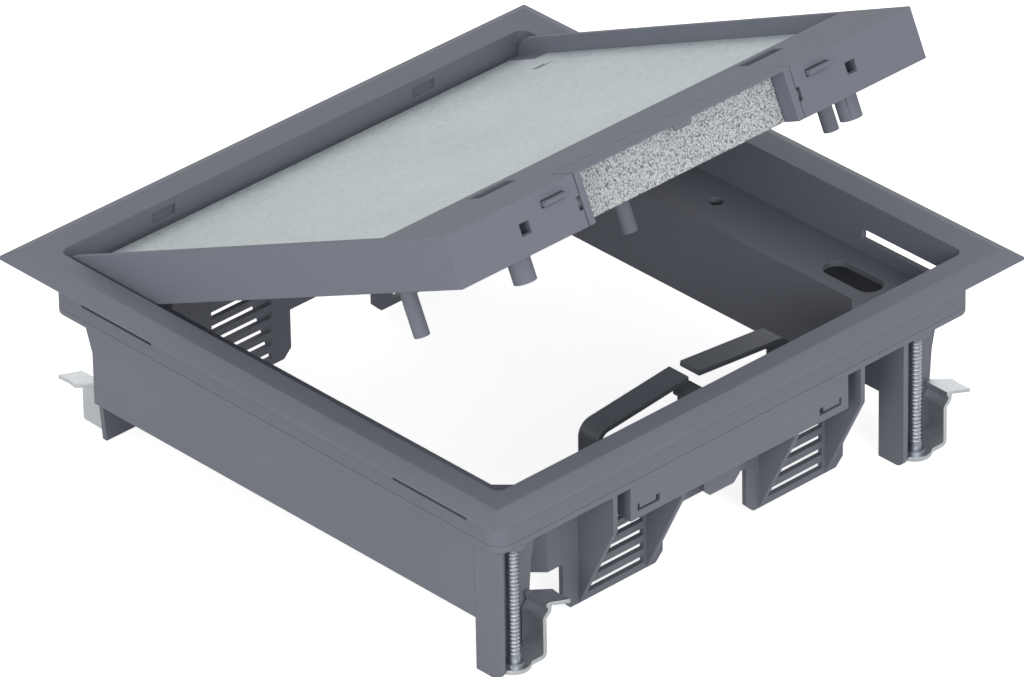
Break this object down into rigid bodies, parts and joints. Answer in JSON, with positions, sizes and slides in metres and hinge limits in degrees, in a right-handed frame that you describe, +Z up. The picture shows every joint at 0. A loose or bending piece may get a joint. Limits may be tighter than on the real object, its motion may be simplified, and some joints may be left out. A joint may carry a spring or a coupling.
{
  "type": "floor socket insert",
  "caption": "Square floor socket insert for a raised floor: bevelled trim frame, hinged lid with cord outlet and spring latches, vented housing, and screw clamps with claws that swing out.",
  "frame": {"origin": "middle of the frame in plan, level with the foot of the legs", "axes": "+Z up, square to the floor; -Y towards the lid's free edge with the cord outlet, +Y towards its hinge"},
  "size_m": [0.264, 0.264, 0.1714],
  "materials": {
    "frame_plastic": "fine moulded grain",
    "housing_plastic": "fine moulded grain",
    "lid_plastic": "fine moulded grain",
    "arm_plastic": "satin",
    "lid_steel": "galvanised, fine spangle",
    "zinc_steel": "bright zinc",
    "foam": "speckled open-cell foam"
  },
  "bodies": {
    "housing": {"trim_frame": "frame_plastic", "side_box_left": "housing_plastic", "side_box_right": "housing_plastic", "front_ledge": "housing_plastic", "rear_ledge": "housing_plastic", "front_apron": "housing_plastic", "rear_apron": "housing_plastic", "bracket_front_left": "housing_plastic", "bracket_front_right": "housing_plastic", "bracket_rear_right": "housing_plastic", "bracket_rear_left": "housing_plastic", "corner_column_front_left": "housing_plastic", "corner_column_front_right": "housing_plastic", "corner_column_rear_right": "housing_plastic", "corner_column_rear_left": "housing_plastic", "hinge_pins": "zinc_steel", "cable_arm_pins": "zinc_steel", "arm_catch": "arm_plastic"},
    "lid": {"lid_frame": "lid_plastic", "lid_plate": "lid_steel"},
    "latch_right": {"lid_latch_right": "lid_plastic"},
    "latch_left": {"lid_latch_left": "lid_plastic"},
    "flap": {"outlet_flap": "lid_plastic", "outlet_foam": "foam"},
    "arm_left": {"cable_arm_left": "arm_plastic"},
    "arm_right": {"cable_arm_right": "arm_plastic"},
    "screw_front_left": {"clamp_screw_front_left": "zinc_steel"},
    "nut_front_left": {"clamp_nut_front_left": "zinc_steel"},
    "claw_front_left": {"clamp_claw_front_left": "zinc_steel"},
    "screw_front_right": {"clamp_screw_front_right": "zinc_steel"},
    "nut_front_right": {"clamp_nut_front_right": "zinc_steel"},
    "claw_front_right": {"clamp_claw_front_right": "zinc_steel"},
    "screw_rear_right": {"clamp_screw_rear_right": "zinc_steel"},
    "nut_rear_right": {"clamp_nut_rear_right": "zinc_steel"},
    "claw_rear_right": {"clamp_claw_rear_right": "zinc_steel"},
    "screw_rear_left": {"clamp_screw_rear_left": "zinc_steel"},
    "nut_rear_left": {"clamp_nut_rear_left": "zinc_steel"},
    "claw_rear_left": {"clamp_claw_rear_left": "zinc_steel"}
  },
  "joints": [
    {"name": "lid_hinge", "type": "hinge", "parent": "housing", "child": "lid", "pos_m": [0, 0.105, 0.07], "axis": [-1, 0, 0], "range_deg": [-24.9, 65]},
    {"name": "outlet_flap_hinge", "type": "hinge", "parent": "lid", "child": "flap", "pos_m": [0, -0.09098, 0.15987], "axis": [1, 0, 0], "range_deg": [0, 60]},
    {"name": "latch_right_slide", "type": "slide", "parent": "lid", "child": "latch_right", "axis": [0, 0.907, -0.421], "range_m": [0, 0.003], "stiffness_N_per_m": 400, "springref_m": -0.002},
    {"name": "latch_left_slide", "type": "slide", "parent": "lid", "child": "latch_left", "axis": [0, 0.907, -0.421], "range_m": [0, 0.003], "stiffness_N_per_m": 400, "springref_m": -0.002},
    {"name": "cable_arm_left_flex", "type": "hinge", "parent": "housing", "child": "arm_left", "pos_m": [-0.047, -0.09, 0.049], "axis": [0, -1, 0], "range_deg": [-6, 70], "stiffness_Nm_per_rad": 0.05},
    {"name": "cable_arm_right_flex", "type": "hinge", "parent": "housing", "child": "arm_right", "pos_m": [0.047, -0.09, 0.049], "axis": [0, 1, 0], "range_deg": [-6, 70], "stiffness_Nm_per_rad": 0.05},
    {"name": "screw_turn_front_left", "type": "hinge", "parent": "housing", "child": "screw_front_left", "pos_m": [-0.1072, -0.113, 0.03], "axis": [0, 0, -1], "range_deg": [0, 5626]},
    {"name": "nut_rise_front_left", "type": "slide", "parent": "housing", "child": "nut_front_left", "axis": [0, 0, 1], "range_m": [0, 0.025]},
    {"name": "claw_swing_front_left", "type": "hinge", "parent": "nut_front_left", "child": "claw_front_left", "pos_m": [-0.1072, -0.113, 0.01], "axis": [0, 0, -1], "range_deg": [0, 90]},
    {"name": "screw_turn_front_right", "type": "hinge", "parent": "housing", "child": "screw_front_right", "pos_m": [0.0943, -0.113, 0.03], "axis": [0, 0, -1], "range_deg": [0, 5626]},
    {"name": "nut_rise_front_right", "type": "slide", "parent": "housing", "child": "nut_front_right", "axis": [0, 0, 1], "range_m": [0, 0.025]},
    {"name": "claw_swing_front_right", "type": "hinge", "parent": "nut_front_right", "child": "claw_front_right", "pos_m": [0.0943, -0.113, 0.01], "axis": [0, 0, -1], "range_deg": [0, 90]},
    {"name": "screw_turn_rear_right", "type": "hinge", "parent": "housing", "child": "screw_rear_right", "pos_m": [0.1072, 0.113, 0.03], "axis": [0, 0, -1], "range_deg": [0, 5626]},
    {"name": "nut_rise_rear_right", "type": "slide", "parent": "housing", "child": "nut_rear_right", "axis": [0, 0, 1], "range_m": [0, 0.025]},
    {"name": "claw_swing_rear_right", "type": "hinge", "parent": "nut_rear_right", "child": "claw_rear_right", "pos_m": [0.1072, 0.113, 0.01], "axis": [0, 0, -1], "range_deg": [0, 90]},
    {"name": "screw_turn_rear_left", "type": "hinge", "parent": "housing", "child": "screw_rear_left", "pos_m": [-0.0943, 0.113, 0.03], "axis": [0, 0, -1], "range_deg": [0, 5626]},
    {"name": "nut_rise_rear_left", "type": "slide", "parent": "housing", "child": "nut_rear_left", "axis": [0, 0, 1], "range_m": [0, 0.025]},
    {"name": "claw_swing_rear_left", "type": "hinge", "parent": "nut_rear_left", "child": "claw_rear_left", "pos_m": [-0.0943, 0.113, 0.01], "axis": [0, 0, -1], "range_deg": [0, 90]}
  ],
  "couplings": [
    {"joint": "screw_turn_front_left", "follows": "nut_rise_front_left", "rad_per_m": 3927},
    {"joint": "screw_turn_front_right", "follows": "nut_rise_front_right", "rad_per_m": 3927},
    {"joint": "screw_turn_rear_right", "follows": "nut_rise_rear_right", "rad_per_m": 3927},
    {"joint": "screw_turn_rear_left", "follows": "nut_rise_rear_left", "rad_per_m": 3927}
  ]
}
